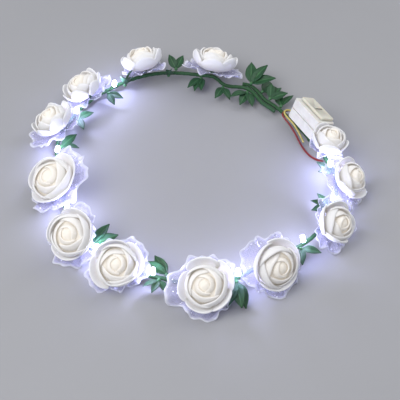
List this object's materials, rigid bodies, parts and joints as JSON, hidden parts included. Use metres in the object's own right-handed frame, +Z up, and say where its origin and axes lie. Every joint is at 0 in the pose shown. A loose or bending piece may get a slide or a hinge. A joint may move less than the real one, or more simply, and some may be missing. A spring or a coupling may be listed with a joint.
{
  "type": "light-up flower crown headband",
  "caption": "Ring of white foam roses with clear glitter film, green leaves and small lights on a wrapped stem, with a battery case and two leads, worn round the head.",
  "frame": {"origin": "middle of the foot of the whole crown's box, on the surface that it lies on", "axes": "+Z up, out of the surface; +X towards the battery case's side; -Y towards the front rose"},
  "size_m": [0.2154, 0.2228, 0.0311],
  "materials": {
    "wrapped_stem": "waxy paper tape",
    "foam": "matte foam sheet",
    "film": "clear film with glitter flecks",
    "light": "clear lit dome",
    "leaf": "satin cloth with a midrib",
    "case_shell": "moulded satin",
    "case_lid": "moulded satin",
    "lead_yellow": "soft insulation",
    "lead_red": "soft insulation"
  },
  "bodies": {
    "root": {"vine_stem": "wrapped_stem", "rose_01": "foam", "rose_02": "foam", "rose_03": "foam", "rose_04": "foam", "rose_05": "foam", "rose_06": "foam", "rose_07": "foam", "rose_08": "foam", "rose_09": "foam", "rose_10": "foam", "rose_11": "foam", "rose_12": "foam", "ruffle_01": "film", "ruffle_02": "film", "ruffle_03": "film", "ruffle_04": "film", "ruffle_05": "film", "ruffle_06": "film", "ruffle_07": "film", "ruffle_08": "film", "ruffle_09": "film", "ruffle_10": "film", "ruffle_11": "film", "ruffle_12": "film", "led_01": "light", "led_02": "light", "led_03": "light", "led_04": "light", "led_05": "light", "led_06": "light", "led_07": "light", "led_08": "light", "led_09": "light", "led_10": "light", "sprig_01": "leaf", "sprig_02": "leaf", "sprig_03": "leaf", "sprig_04": "leaf", "sprig_05": "leaf", "sprig_06": "leaf", "sprig_07": "leaf", "sprig_08": "leaf", "sprig_09": "leaf", "sprig_10": "leaf", "sprig_11": "leaf", "sprig_12": "leaf", "sprig_13": "leaf", "sprig_14": "leaf", "sprig_15": "leaf", "sprig_16": "leaf", "sprig_17": "leaf", "sprig_18": "leaf", "sprig_19": "leaf", "sprig_20": "leaf", "case_base": "case_shell", "case_top": "case_shell", "case_lid": "case_lid", "lead_yellow": "lead_yellow", "lead_red": "lead_red"}
  },
  "joints": []
}
